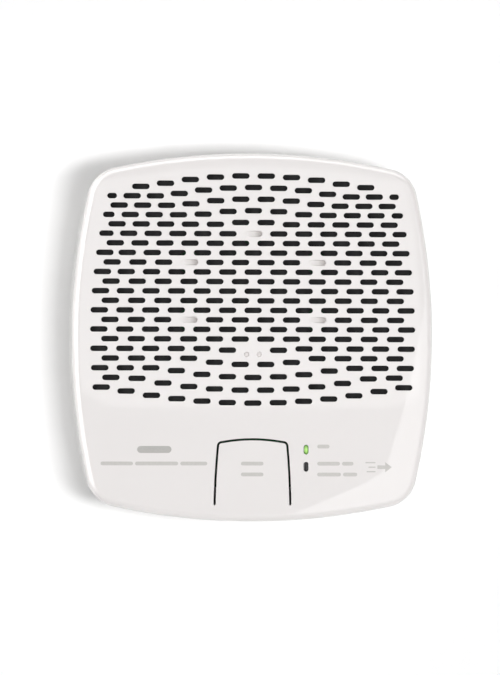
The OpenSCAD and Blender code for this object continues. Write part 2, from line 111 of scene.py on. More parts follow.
# How far columns draw in: at mid field, how much more at the ends of its reach, and the rows' differences
PULL_Y, PULL_REACH = 3, 43.8
PULL_MIDDLE, PULL_MORE, PULL_TOPMOST = -0.5, 3.3, 1.45
PULL_EVEN, PULL_ODD_UPPER, PULL_ODD_LOWER = 0.35, 0.2, -0.45
TOPMOST_Y, UPPER_Y = 49.9, 28
# Fanned rows: their pitch at the middle and at the sides, and the spread of the first and of each next one
UPPER_FAN = (3.85, 3.11, 160, 36)
LOWER_FAN = (4.25, 3.21, 46, 83)
SLOT_EDGE_R = 0.22
EDGE_STEPS = 3              # facets of a slot's rounded edge
RECESS_MATT_PAINTED_SHADE = 1           # blind slots and dimples have the cover's second, matt finish, whose colour is painted shade darkening with depth
BLIND_DEPTH = (0.1, 1.6)    # a blind slot's floor ramps down from its left to its right end
DIMPLES = ((-2.1, -5.6), (2.1, -5.6))
DIMPLE_D = 1.5
DIMPLE_DEPTH = (0.9, 0.9)
BLEND_W = 0.5               # the edges of blind slots and dimples flow into their floors over this width
BLEND_STEPS = 6

# Test button
HINGE_Y = (WEB_LOW.y + WEB_HIGH.y) / 2
BUTTON_TOP_Y = -33.8
BUTTON_TOP_HW, BUTTON_BASE_HW = 11.55, 12.6
BUTTON_SIDE_SAG = 0.18
BUTTON_CORNER_R, BUTTON_CROWN_R = 1.3, 55.0
SHOULDER_DROP = 2.25        # from the top of the button's crown to the centres of its corners
HINGE_TO_GAP_END = 0.175    # from the bending line up to the middle of each round end
SIDE_STEPS, CORNER_STEPS, CROWN_STEPS = 14, 8, 12
BUTTON_GAP = 0.72
GAP_EDGE_R = 0.12
CAP_STEPS = 8               # facets of the gap's round ends
WEB_CAP_STEP = 2            # the web ends this many steps round each end of the gap
CUT_STEPS = 8               # lengths of the lines that part the button, the web and the cover
WEB_T = 0.8

WINDOW_W, WINDOW_H = 1.6, 3.2

# Points that fill the face between the holes
FILL_STEP, FILL_REACH = 3.0, 60
FILL_SHIFT = (0.37, 0.21)       # keeps them off the rows and columns of the slots
FILL_CLEAR = 1.1                # least distance to the points of any ring
FILL_HOLE_CLEAR = (3.4, 1.5)    # and to the middle of a slot, window or dimple
FILL_GAP_CLEAR = 0.5

DETECTOR, BUTTON = "detector", "button"


def to_row(points):
    """Face coordinates in millimetres to the row frame in metres."""
    points = np.asarray(points, float)
    return np.stack([points[:, 0], -points[:, 2], points[:, 1]], 1) * MM


# ------------------------------------------------------------------ mesh building

class Mesh:
    """Collects faces with a normal at each corner, then makes one Blender object."""

    def __init__(self):
        self.points, self.faces, self.normals, self.finishes = [], [], [], []

    def add(self, points):
        start = len(self.points)
        self.points.extend(tuple(p) for p in points)
        return list(range(start, len(self.points)))

    def face(self, corners, normals, finish=0):
        self.faces.append(corners)
        self.normals.append(normals)
        self.finishes.append(finish)

    def strip(self, a, b, normals_a, normals_b, finish=0):
        """Quads between two closed rings. They face the cross product of the ring's run and a to b."""
        for i in range(len(a)):
            j = (i + 1) % len(a)
            self.face([a[i], a[j], b[j], b[i]],
                      [normals_a[i], normals_a[j], normals_b[j], normals_b[i]], finish)

    def build(self, name, materials, body, slot):
        mesh = bpy.data.meshes.new(name)
        used = sorted({v for f in self.faces for v in f})
        place = {v: i for i, v in enumerate(used)}
        mesh.from_pydata(to_row([self.points[v] for v in used]).tolist(), [],
                         [[place[v] for v in f] for f in self.faces])
        corner = np.array([n for face in self.normals for n in face], float)
        corner = np.stack([corner[:, 0], -corner[:, 2], corner[:, 1]], 1)
        corner /= np.maximum(np.linalg.norm(corner, axis=1, keepdims=True), 1e-9)
        mesh.normals_split_custom_set(corner.tolist())
        obj = bpy.data.objects.new(name, mesh)
        bpy.context.scene.collection.objects.link(obj)
        for material in materials:
            mesh.materials.append(material)
        mesh.polygons.foreach_set("material_index", self.finishes)
        if body:
            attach(obj, body)
        return obj


# ------------------------------------------------------------------ case outline and face

SIDE_CX = CASE_W / 2 - BULGE_R
TOP_CY = CASE_H / 2 - BULGE_R
ARC_SPAN = math.hypot(SIDE_CX, TOP_CY)
ARC_LIFT = math.sqrt((BULGE_R - CORNER_R) ** 2 - ARC_SPAN ** 2 / 4)
CORNER_C = (SIDE_CX / 2 - ARC_LIFT * TOP_CY / ARC_SPAN,
            TOP_CY / 2 - ARC_LIFT * SIDE_CX / ARC_SPAN)
SIDE_A = math.atan2(CORNER_C[1], CORNER_C[0] - SIDE_CX)
TOP_A = math.atan2(CORNER_C[0], CORNER_C[1] - TOP_CY)


def outline(inset, side_steps=24, corner_steps=14):
    """Points of the case's outline moved inwards, anticlockwise, and their outward directions."""
    quarter = []
    for n in range(side_steps + 1):
        a = SIDE_A * n / side_steps
        quarter.append((SIDE_CX, 0, BULGE_R - inset, a))
    for n in range(1, corner_steps):
        a = SIDE_A + (math.pi / 2 - TOP_A - SIDE_A) * n / corner_steps
        quarter.append((*CORNER_C, CORNER_R - inset, a))
    for n in range(side_steps + 1):
        a = math.pi / 2 - TOP_A + TOP_A * n / side_steps
        quarter.append((0, TOP_CY, BULGE_R - inset, a))
    points = [(cx + r * math.cos(a), cy + r * math.sin(a), math.cos(a), math.sin(a))
              for cx, cy, r, a in quarter]
    upper = points + [(-x, y, -nx, ny) for x, y, nx, ny in points[-2::-1]]
    whole = np.array(upper + [(x, -y, nx, -ny) for x, y, nx, ny in upper[-2:0:-1]])
    return whole[:, :2], whole[:, 2:]


def edge_distance(x, y):
    """Distance from a point of the face to the outline, and the outward direction there."""
    ax, ay = abs(x), abs(y)
    sx, sy = math.copysign(1, x), math.copysign(1, y)
    cx, cy = ax - CORNER_C[0], ay - CORNER_C[1]
    if cx > 0 and cy > 0 and SIDE_A < math.atan2(cy, cx) < math.pi / 2 - TOP_A:
        r = math.hypot(cx, cy)
        return CORNER_R - r, (sx * cx / r, sy * cy / r)
    side_r = math.hypot(ax - SIDE_CX, ay)
    top_r = math.hypot(ax, ay - TOP_CY)
    if side_r > top_r:
        return BULGE_R - side_r, (sx * (ax - SIDE_CX) / side_r, sy * ay / side_r)
    return BULGE_R - top_r, (sx * ax / top_r, sy * (ay - TOP_CY) / top_r)


def crown_slope(u):
    return 2 * CROWN_H / CROWN_W * max(0.0, 1 - u / CROWN_W)


def face_z(x, y):
    u, _ = edge_distance(x, y)
    return FRONT_Z - CROWN_H * max(0.0, 1 - u / CROWN_W) ** 2


def face_normal(x, y):
    u, d = edge_distance(x, y)
    s = crown_slope(u)
    return np.array((s * d[0], s * d[1], 1.0)) / math.sqrt(1 + s * s)


# The front edge's round starts where its slope equals the face's
EDGE_START = math.atan(crown_slope(FRONT_EDGE_R))
FACE_INSET = FRONT_EDGE_R * (1 - math.sin(EDGE_START))


# ------------------------------------------------------------------ slots

def edge_x(y):
    """The outer ends of the slots follow this shallow arc."""
    return EDGE_X - (y - EDGE_Y) ** 2 / (2 * EDGE_ARC_R)


def last_slot_x(y):
    """The outermost slots start here, so those near the top are shorter."""
    return LAST_SLOT_X - SHORTER_RATE * max(0.0, y - SHORTER_ABOVE)


def pull_in(y, k):
    """Columns draw inwards towards the top and bottom of the field, and less so in the topmost row."""
    if y > TOPMOST_Y:
        return PULL_TOPMOST
    odd = PULL_ODD_UPPER if y > UPPER_Y else PULL_ODD_LOWER
    return PULL_MIDDLE + PULL_MORE * ((y - PULL_Y) / PULL_REACH) ** 2 + (PULL_EVEN if k % 2 == 0 else odd)


def column_x(y, k):
    return k * SLOT_DX - math.copysign(1, k) * pull_in(y, k) * (k / LAST_COLUMN) ** 2


def fan_reach(j, x, fan):
    """Distance of fanned row j at x from the last straight row."""
    middle_pitch, side_pitch, spread, growth = fan
    return max(middle_pitch * j - x * x / (spread + growth * j), side_pitch * j)


def slot_place(y, k):
    """Centre and length of the slot of column k at height y."""
    if abs(k) < LAST_COLUMN:
        return column_x(y, k), y, SLOT_W
    x1 = edge_x(y)
    x0 = max(x1 - SLOT_W, last_slot_x(y))
    return math.copysign((x0 + x1) / 2, k), y, x1 - x0


def slot_field():
    """All slots as (x, y, length, blind). Every second column of a row is empty, in turns."""
    columns = range(-LAST_COLUMN, LAST_COLUMN + 1)
    for i in range(STRAIGHT_ROWS):
        for k in columns:
            if abs(k) % 2 == i % 2:
                blind = (i == 0 and k == 0) or (i in BOSS_ROWS and abs(k) == BOSS_COLUMN)
                yield (*slot_place(TOP_ROW_Y - ROW_DY * i, k), blind)
    for j in range(1, FAN_ROWS + 1):
        for k in columns:
            x = k * SLOT_DX
            topmost_gap = j == FAN_ROWS and abs(k) > TOPMOST_LAST_COLUMN
            over_dimples = j == 1 and k == 0
            if abs(k) % 2 == j % 2 and not topmost_gap:
                yield (*slot_place(TOP_ROW_Y + fan_reach(j, x, UPPER_FAN), k), False)
            if abs(k) % 2 != j % 2 and not over_dimples:
                yield (*slot_place(LOW_ROW_Y - fan_reach(j, x, LOWER_FAN), k), False)


class Hole:
    """A hole in the face: a spine, the outward directions round it and its half width.

    depth is None for a through hole, and else the depth at its left and at its right end.
    """

    def __init__(self, spine, outward, half, depth=None, edge_r=SLOT_EDGE_R):
        self.spine, self.outward = np.array(spine, float), np.array(outward, float)
        self.half, self.depth, self.edge_r = half, depth, edge_r

    def ring(self, grow):
        return self.spine + (self.half + grow) * self.outward


def stadium_hole(x, y, length, width, upright=False, depth=None, end_steps=8, side_steps=1):
    reach = (length - width) / 2
    spine, outward = [], []
    for end in (1, -1):
        for n in range(end_steps + 1):
            a = math.pi / 2 * (1 - end) + math.pi * (n / end_steps - 0.5)
            spine.append((end * reach, 0))
            outward.append((math.cos(a), math.sin(a)))
        for n in range(1, side_steps):
            spine.append((end * reach * (1 - 2 * n / side_steps), 0))
            outward.append((0, end))
    if upright:
        spine = [(-b, a) for a, b in spine]
        outward = [(-b, a) for a, b in outward]
    spine = [(x + a, y + b) for a, b in spine]
    return Hole(spine, outward, width / 2, depth)


def round_hole(x, y, diameter, depth, steps=20):
    turns = [2 * math.pi * n / steps for n in range(steps)]
    return Hole([(x, y)] * steps, [(math.cos(a), math.sin(a)) for a in turns], diameter / 2, depth)


def button_spine():
    """Centre line of the gap round the button, from the right end over the top to the left end."""
    shoulder_y = BUTTON_TOP_Y - SHOULDER_DROP
    base_y = HINGE_Y + HINGE_TO_GAP_END
    corner_x = BUTTON_TOP_HW - BUTTON_CORNER_R
    corner_a = math.pi / 2 - math.asin(corner_x / (BUTTON_CROWN_R - BUTTON_CORNER_R))
    half = []
    for n in range(SIDE_STEPS):
        t = n / SIDE_STEPS
        x = BUTTON_BASE_HW + (BUTTON_TOP_HW - BUTTON_BASE_HW) * t + 4 * BUTTON_SIDE_SAG * t * (1 - t)
        slope = (BUTTON_TOP_HW - BUTTON_BASE_HW + 4 * BUTTON_SIDE_SAG * (1 - 2 * t)) / (shoulder_y - base_y)
        d = Vector((1, -slope)).normalized()
        half.append((x, base_y + (shoulder_y - base_y) * t, d.x, d.y))
    for n in range(CORNER_STEPS + 1):
        a = corner_a * n / CORNER_STEPS
        half.append((corner_x + BUTTON_CORNER_R * math.cos(a),
                     shoulder_y + BUTTON_CORNER_R * math.sin(a), math.cos(a), math.sin(a)))
    for n in range(1, CROWN_STEPS + 1):
        a = corner_a + (math.pi / 2 - corner_a) * n / CROWN_STEPS
        half.append((BUTTON_CROWN_R * math.cos(a),
                     BUTTON_TOP_Y - BUTTON_CROWN_R + BUTTON_CROWN_R * math.sin(a),
                     math.cos(a), math.sin(a)))
    return half + [(-x, y, -nx, ny) for x, y, nx, ny in half[-2::-1]]


def button_gap():
    """The gap as a hole, and the indices on its ring where the button and the web end."""
    line = button_spine()
    count = len(line)
    spine = [(x, y) for x, y, _, _ in line]
    outward = [(nx, ny) for _, _, nx, ny in line]
    for (x, y, nx, ny), side in ((line[-1], -1), (line[0], 1)):
        ahead = (ny * side, -nx * side)
        turns = [math.pi * n / CAP_STEPS for n in range(1, CAP_STEPS)]
        cap = [(nx * math.cos(a) + ahead[0] * math.sin(a),
                ny * math.cos(a) + ahead[1] * math.sin(a)) for a in turns]
        spine += [(x, y)] * len(cap)
        outward += cap[::-side]
        if side == -1:
            spine += [(px, py) for px, py, _, _ in line[::-1]]
            outward += [(-qx, -qy) for _, _, qx, qy in line[::-1]]
    left_end = count + CAP_STEPS - 1          # first point of the inner side, at the left
    right_end = left_end + count - 1          # last point of the inner side, at the right
    return Hole(spine, outward, BUTTON_GAP / 2, edge_r=GAP_EDGE_R), left_end, right_end


# ------------------------------------------------------------------ cover, button and web

def inside(x, y, ring):
    """Is a point inside a closed ring of points?"""
    hit = False
    for (x0, y0), (x1, y1) in zip(ring, np.roll(ring, -1, 0)):
        if (y0 > y) != (y1 > y) and x < (x1 - x0) * (y - y0) / (y1 - y0) + x0:
            hit = not hit
    return hit


def all_holes():
    """Every hole in the face, with the gap round the button as the last one, and the gap's two ends."""
    holes = [stadium_hole(x, y, w, SLOT_H, depth=BLIND_DEPTH if blind else None,
                          side_steps=8 if blind else 1)
             for x, y, w, blind in slot_field()]
    holes += [round_hole(x, y, DIMPLE_D, DIMPLE_DEPTH) for x, y in DIMPLES]
    for node in ("power_light_pipe", "alarm_light_pipe"):
        low, high = face_box(node)
        holes.append(stadium_hole((low.x + high.x) / 2, (low.y + high.y) / 2,
                                  WINDOW_H, WINDOW_W, upright=True))
    gap, left_end, right_end = button_gap()
    return holes + [gap], left_end, right_end


class Sheet:
    """The front face as flat triangles, with every hole's ring and both cuts across the web in them."""

    RIM, FREE = -1, -2      # owners of points that belong to no hole

    def __init__(self):
        self.points, self.owner, self.edges = [], [], []
        self.holes, self.left_end, self.right_end = all_holes()
        self.rings = [self.add_ring(hole.ring(hole.edge_r), n) for n, hole in enumerate(self.holes)]
        self.rim = self.add_ring(outline(FACE_INSET)[0], self.RIM)
        self.button_cut = self.add_cut(self.left_end, self.right_end)
        self.web_cut = self.add_cut(self.left_end - WEB_CAP_STEP, self.right_end + WEB_CAP_STEP)
        self.add_fill()
        made = delaunay_2d_cdt([Vector(p) for p in self.points], self.edges, [], 0, 1e-6)
        ids = [source[0] if source else None for source in made[3]]
        assert len(made[0]) == len(self.points) and None not in ids, "the face's rings must not cross"
        self.triangles = [[ids[v] for v in f] for f in made[2]]

    def add_ring(self, ring, owner):
        ids = list(range(len(self.points), len(self.points) + len(ring)))
        self.points += ring.tolist()
        self.owner += [owner] * len(ring)
        self.edges += list(zip(ids, ids[1:] + ids[:1]))
        return ids

    def add_cut(self, left, right):
        """A straight line between two points of the gap's ring: its points, and its ends on the ring."""
        ring = self.rings[-1]
        right %= len(ring)
        a, b = self.points[ring[left]], self.points[ring[right]]
        line = [ring[left]]
        for n in range(1, CUT_STEPS):
            line.append(len(self.points))
            self.points.append([p + (q - p) * n / CUT_STEPS for p, q in zip(a, b)])
            self.owner.append(self.FREE)
        line.append(ring[right])
        self.edges += list(zip(line, line[1:]))
        return line, left, right

    def add_fill(self):
        """Evenly spaced points away from the holes, so that the convex face shades smoothly."""
        taken = np.array(self.points)
        middles = np.array([hole.spine.mean(0) for hole in self.holes[:-1]])
        gap_ring = self.holes[-1].ring(FILL_GAP_CLEAR)
        for gy in np.arange(-FILL_REACH, FILL_REACH + 0.1, FILL_STEP):
            for gx in np.arange(-FILL_REACH, FILL_REACH + 0.1, FILL_STEP):
                x, y = gx + FILL_SHIFT[0], gy + FILL_SHIFT[1]
                near = np.min((taken[:, 0] - x) ** 2 + (taken[:, 1] - y) ** 2)
                if near < FILL_CLEAR ** 2 or edge_distance(x, y)[0] < FACE_INSET + 1:
                    continue
                if inside(x, y, gap_ring):
                    continue
                if np.any((abs(middles[:, 0] - x) < FILL_HOLE_CLEAR[0])
                          & (abs(middles[:, 1] - y) < FILL_HOLE_CLEAR[1])):
                    continue
                self.points.append([x, y])
                self.owner.append(self.FREE)

    def places(self, ids):
        return np.array([self.points[v] for v in ids])

    def hole_of(self, triangle, x, y, gap_ring):
        """The hole that a triangle with its middle at x, y covers, or None."""
        owners = [self.owner[v] for v in triangle]
        gap_id = len(self.holes) - 1
        if gap_id in owners:
            return self.holes[gap_id] if inside(x, y, gap_ring) else None
        if owners[0] == owners[1] == owners[2] and owners[0] >= 0:
            return self.holes[owners[0]]
        return None


def make_front():
    """The cover, the button and the thin web between them, cut from one continuous face."""
    sheet = Sheet()
    mesh = Mesh()
    top = mesh.add([(x, y, face_z(x, y)) for x, y in sheet.points])
    under = mesh.add([(x, y, FRONT_Z - WALL_T) for x, y in sheet.points])
    web_under = mesh.add([(x, y, FRONT_Z - WEB_T) for x, y in sheet.points])
    normals = [face_normal(x, y) for x, y in sheet.points]
    parts = {"cover": Mesh(), "button": Mesh(), "web": Mesh()}
    for part in parts.values():
        part.points = mesh.points
    gap_ring = sheet.places(sheet.rings[-1])
    button_ring = sheet.places(sheet.rings[-1][sheet.left_end:sheet.right_end + 1])
    web_ring = sheet.places(sheet.web_cut[0] + sheet.button_cut[0][::-1])

    for t in sheet.triangles:
        x, y = sheet.places(t).mean(0)
        hole = sheet.hole_of(t, x, y, gap_ring)
        part, below = parts["cover"], under
        if inside(x, y, button_ring):
            part = parts["button"]
        elif inside(x, y, web_ring):
            part, below = parts["web"], web_under
        if hole is None:
            part.face([top[v] for v in t], [normals[v] for v in t])
        if hole is None or hole.depth is not None:
            part.face([below[v] for v in t[::-1]], [(0.0, 0.0, -1.0)] * 3)

    for hole, ring in zip(sheet.holes, sheet.rings):
        inward = [np.array((-dx, -dy, 0.0)) for dx, dy in hole.outward]
        levels = [([top[v] for v in ring], [normals[v] for v in ring])]
        if hole.depth is not None:
            blind_floor(mesh, parts["cover"], hole, levels, inward)
            continue
        round_edge(mesh, hole, levels, inward)
        if hole is sheet.holes[-1]:
            split_gap(parts, sheet, levels, inward, under, web_under)
            close_cuts(parts, sheet, levels, top, under, web_under)
            continue
        levels.append(([under[v] for v in ring], inward))
        for (a, na), (b, nb) in zip(levels, levels[1:]):
            parts["cover"].strip(a, b, na, nb)
    finish_case(mesh, parts["cover"], [top[v] for v in sheet.rim], [under[v] for v in sheet.rim])
    return parts


def round_edge(mesh, hole, levels, inward):
    """Adds the rings of a hole's rounded edge to levels, from the face down to the hole's wall."""
    face_normals = levels[0][1]
    for n in range(1, EDGE_STEPS + 1):
        a = math.pi / 2 * n / EDGE_STEPS
        drop = hole.edge_r * (1 - math.cos(a))
        ids = mesh.add([(x, y, face_z(x, y) - drop)
                        for x, y in hole.ring(hole.edge_r * (1 - math.sin(a)))])
        levels.append((ids, [math.cos(a) * up + math.sin(a) * side
                             for up, side in zip(face_normals, inward)]))


def blind_floor(mesh, cover, hole, levels, inward):
    """The soft-edged, ramped hollow of a blind slot or a dimple. levels holds its ring on the face."""
    left, right = hole.spine[:, 0].min(), hole.spine[:, 0].max()
    shallow, deep = hole.depth
    run = max(right - left, 1e-6)
    along = np.clip((hole.spine[:, 0] - left) / run, 0, 1)
    depth = shallow + (deep - shallow) * along
    up = [np.array((s, 0.0, 1.0)) for s in (deep - shallow) / run * (along > 0)]
    for n in range(1, BLEND_STEPS + 1):
        t = n / BLEND_STEPS
        share = t * t * (3 - 2 * t)
        steep = 6 * t * (1 - t) / BLEND_W
        ids = mesh.add([(x, y, face_z(x, y) - d * share)
                        for (x, y), d in zip(hole.ring(hole.edge_r - BLEND_W * t), depth)])
        levels.append((ids, [u + i * d * steep for u, i, d in zip(up, inward, depth)]))
    # the hollow's walls and floor take the matt material with painted shade
    for (a, na), (b, nb) in zip(levels, levels[1:]):
        cover.strip(a, b, na, nb, RECESS_MATT_PAINTED_SHADE)
    floor = levels[-1][0]
    count = len(floor)
    first = int(np.argmax(hole.ring(0)[:, 0]))
    for m in range(count // 2):
        pair = [(first + m) % count, (first + m + 1) % count, (first - m - 1) % count, (first - m) % count]
        corners = [v for n, v in enumerate(pair) if v not in pair[:n]]
        cover.face([floor[v] for v in corners], [up[v] for v in corners], RECESS_MATT_PAINTED_SHADE)


def split_gap(parts, sheet, levels, inward, under, web_under):
    """Walls of the gap round the button, shared out between cover, web and button."""
    ring = sheet.rings[-1]
    left, right = sheet.left_end, sheet.right_end
    for i in range(len(ring)):
        j = (i + 1) % len(ring)
        part, low = parts["cover"], under
        if left <= i < right:
            part = parts["button"]
        elif left - WEB_CAP_STEP <= i < right + WEB_CAP_STEP:
            part, low = parts["web"], web_under
        wall = levels + [([low[v] for v in ring], inward)]
        for (a, na), (b, nb) in zip(wall, wall[1:]):
            part.face([a[i], a[j], b[j], b[i]], [na[i], na[j], nb[j], nb[i]])


def close_cuts(parts, sheet, levels, top, under, web_under):
    """Flat ends of the button, the web and the cover along the two cut lines."""
    def curtain(part, cut, low, facing):
        line, left, right = cut
        loop = [top[v] for v in line]
        loop += [ids[right] for ids, _ in levels[1:]]
        loop += [low[v] for v in line[::-1]]
        loop += [ids[left] for ids, _ in levels[:0:-1]]
        part.face(loop[::facing], [(0.0, facing, 0.0)] * len(loop))
    up, down = 1, -1
    curtain(parts["button"], sheet.button_cut, under, down)
    curtain(parts["web"], sheet.button_cut, web_under, up)
    curtain(parts["web"], sheet.web_cut, web_under, down)
    curtain(parts["cover"], sheet.web_cut, under, up)


def finish_case(mesh, cover, rim_top, rim_under):
    """The cover's rounded front edge, its side wall, its rear edge and its inside wall."""
    base_z = face_z(*outline(FACE_INSET)[0][0]) - FRONT_EDGE_R * math.cos(EDGE_START)
    flat = [np.array((nx, ny, 0.0)) for nx, ny in outline(0)[1]]
    axis = np.array((0.0, 0.0, 1.0))
    rings = [(rim_top, [math.sin(EDGE_START) * f + math.cos(EDGE_START) * axis for f in flat])]

    def add_ring(inset, z, normals):
        rings.append((mesh.add([(x, y, z) for x, y in outline(inset)[0]]), normals))

    for n in range(1, FRONT_EDGE_STEPS + 1):
        a = EDGE_START + (math.pi / 2 - EDGE_START) * n / FRONT_EDGE_STEPS
        add_ring(FRONT_EDGE_R * (1 - math.sin(a)), base_z + FRONT_EDGE_R * math.cos(a),
                 [math.sin(a) * f + math.cos(a) * axis for f in flat])
    for n in range(BACK_EDGE_STEPS + 1):
        a = math.pi / 2 * n / BACK_EDGE_STEPS
        add_ring(BACK_EDGE_R * (1 - math.cos(a)), SEAM_Z + BACK_EDGE_R * (1 - math.sin(a)),
                 [math.cos(a) * f - math.sin(a) * axis for f in flat])
    # each next ring lies nearer the wall, so it comes first for the strip to face outwards
    for (a, na), (b, nb) in zip(rings, rings[1:]):
        cover.strip(b, a, nb, na)
    inner_low = mesh.add([(x, y, SEAM_Z) for x, y in outline(WALL_T)[0]])
    inner_top = mesh.add([(x, y, FRONT_Z - WALL_T - INNER_STEP) for x, y in outline(WALL_T)[0]])
    rear, inner = [-axis] * len(flat), [-f for f in flat]
    cover.strip(inner_low, rings[-1][0], rear, rear)
    cover.strip(inner_top, inner_low, inner, inner)
    cover.strip(rim_under, inner_top, inner, inner)


# ------------------------------------------------------------------ materials

class Nodes:
    """A material's node tree, with short calls for the nodes used here."""

    def __init__(self, name):
        self.material = bpy.data.materials.new(name)
        self.material.use_nodes = True
        self.tree = self.material.node_tree
        self.shader = self.tree.nodes["Principled BSDF"]
        self.coords = self.tree.nodes.new("ShaderNodeTexCoord").outputs["Object"]

    def node(self, kind, **settings):
        n = self.tree.nodes.new(kind)
        for key, value in settings.items():
            if hasattr(n, key):
                setattr(n, key, value)
            else:
                n.inputs[key.replace("_", " ")].default_value = value
        return n

    def link(self, a, b):
        self.tree.links.new(a, b)

    def noise(self, scale, detail=2.0, roughness=0.5):
        n = self.node("ShaderNodeTexNoise", Scale=scale, Detail=detail, Roughness=roughness)
        self.link(self.coords, n.inputs["Vector"])
        return n.outputs["Fac"]

    def ramp(self, source, stops):
        n = self.node("ShaderNodeValToRGB")
        ramp = n.color_ramp
        while len(ramp.elements) < len(stops):
            ramp.elements.new(0.5)
        for element, (position, colour) in zip(ramp.elements, stops):
            element.position = position
            element.color = (*colour, 1) if len(colour) == 3 else colour
        self.link(source, n.inputs["Fac"])
        return n.outputs["Color"]

    def span(self, source, low, high, from_low=0.3, from_high=0.7):
        n = self.node("ShaderNodeMapRange")
        n.inputs["From Min"].default_value = from_low
        n.inputs["From Max"].default_value = from_high
        n.inputs["To Min"].default_value = low
        n.inputs["To Max"].default_value = high
        self.link(source, n.inputs["Value"])
        return n.outputs["Result"]

    def bump(self, source, strength, distance, after=None):
        n = self.node("ShaderNodeBump")
        n.inputs["Strength"].default_value = strength
        n.inputs["Distance"].default_value = distance
        self.link(source, n.inputs["Height"])
        if after is not None:
            self.link(after, n.inputs["Normal"])
        return n.outputs["Normal"]

    def set(self, **values):
        for key, value in values.items():
            self.shader.inputs[key.replace("_", " ")].default_value = value

    def colour(self, source):
        self.link(source, self.shader.inputs["Base Color"])

    def rough(self, source):
        self.link(source, self.shader.inputs["Roughness"])

    def normal(self, source):
        self.link(source, self.shader.inputs["Normal"])


def plastic(name, colour, rough, grain=0.0, tone=0.015, coat=0.0, waves=0.06):
    """Moulded plastic: slow tone changes, uneven gloss, and a fine spark-eroded grain."""
    m = Nodes(name)
    light = tuple(min(1.0, c * (1 + tone)) for c in colour)
    dark = tuple(c * (1 - tone) for c in colour)
    m.colour(m.ramp(m.noise(14, 1, 0.4), [(0.25, dark), (0.75, light)]))
    m.rough(m.span(m.noise(220, 4, 0.6), rough * 0.85, rough * 1.2))
    flow = m.bump(m.noise(90, 2, 0.4), waves, 0.0004)
    if grain:
        flow = m.bump(m.noise(5200, 3, 0.7), grain, 0.00006, flow)
    m.normal(flow)
    m.set(IOR=1.5)
    if coat:
        m.set(Coat_Weight=coat, Coat_Roughness=0.06)
    return m.material


def recess_painted_shade(name, colour, mid_shade_colour, deepest_shade_colour):
    """The matt floors of the blind slots, with painted shade: their colour darkens the further they lie
    below the face.
    """
    m = Nodes(name)
    parts = m.node("ShaderNodeSeparateXYZ")
    m.link(m.coords, parts.inputs[0])
    face_y = -FRONT_Z * MM
    depth = m.span(parts.outputs["Y"], 0.0, 1.0, face_y + BLIND_DEPTH[0] * MM, face_y + BLIND_DEPTH[1] * MM)
    m.colour(m.ramp(depth, [(0.0, colour), (0.6, mid_shade_colour), (1.0, deepest_shade_colour)]))
    m.rough(m.span(m.noise(220, 4, 0.6), 0.55, 0.7))
    m.normal(m.bump(m.noise(5200, 3, 0.7), 0.1, 0.00006))
    return m.material


def metal(name, colour, rough, scratches=0.25):
    """Plated sheet or wire: streaked gloss and small scratches."""
    m = Nodes(name)
    dull = tuple(c * 0.86 for c in colour)
    m.colour(m.ramp(m.noise(300, 4, 0.6), [(0.3, dull), (0.7, colour)]))
    m.rough(m.span(m.noise(900, 5, 0.7), rough * 0.7, rough * 1.4))
    m.normal(m.bump(m.noise(2600, 4, 0.7), scratches, 0.00004))
    m.set(Metallic=1.0)
    return m.material


def mesh_cloth(name):
    """Black woven dust mesh."""
    m = Nodes(name)
    waves = []
    for direction in ("X", "Z"):
        w = m.node("ShaderNodeTexWave", wave_type="BANDS", bands_direction=direction)
        w.inputs["Scale"].default_value = 900
        m.link(m.coords, w.inputs["Vector"])
        waves.append(w.outputs["Fac"])
    cross = m.node("ShaderNodeMath", operation="MULTIPLY")
    m.link(waves[0], cross.inputs[0])
    m.link(waves[1], cross.inputs[1])
    m.colour(m.ramp(cross.outputs[0], [(0.0, (0.002, 0.002, 0.002)), (1.0, (0.02, 0.02, 0.021))]))
    m.rough(m.span(m.noise(400), 0.75, 0.95))
    m.normal(m.bump(cross.outputs[0], 0.5, 0.0001))
    return m.material


def lit_pipe(name, core, rim, strength, centre):
    """Acrylic light guide: bright in the middle of the window, deeper towards its rim."""
    m = Nodes(name)
    shift = m.node("ShaderNodeVectorMath", operation="SUBTRACT")
    m.link(m.coords, shift.inputs[0])
    shift.inputs[1].default_value = centre
    squash = m.node("ShaderNodeVectorMath", operation="MULTIPLY")
    m.link(shift.outputs[0], squash.inputs[0])
    squash.inputs[1].default_value = (1.0, 0.0, 0.52)
    length = m.node("ShaderNodeVectorMath", operation="LENGTH")
    m.link(squash.outputs[0], length.inputs[0])
    glow = m.span(length.outputs["Value"], 1.0, 0.0, 0.00025, 0.00075)
    colour = m.ramp(glow, [(0.0, rim), (1.0, core)])
    m.colour(colour)
    m.link(colour, m.shader.inputs["Emission Color"])
    m.set(Emission_Strength=strength, IOR=1.49)
    m.rough(m.span(m.noise(500), 0.08, 0.16))
    m.normal(m.bump(m.noise(700), 0.05, 0.0001))
    return m.material


def ink(name, colour):
    """Pad-printed ink, slightly uneven in density."""
    m = Nodes(name)
    pale = tuple(min(1.0, c * 1.12) for c in colour)
    m.colour(m.ramp(m.noise(1500, 4, 0.65), [(0.35, colour), (0.75, pale)]))
    m.rough(m.span(m.noise(600), 0.4, 0.55))
    m.normal(m.bump(m.noise(3000), 0.1, 0.00002))
    return m.material


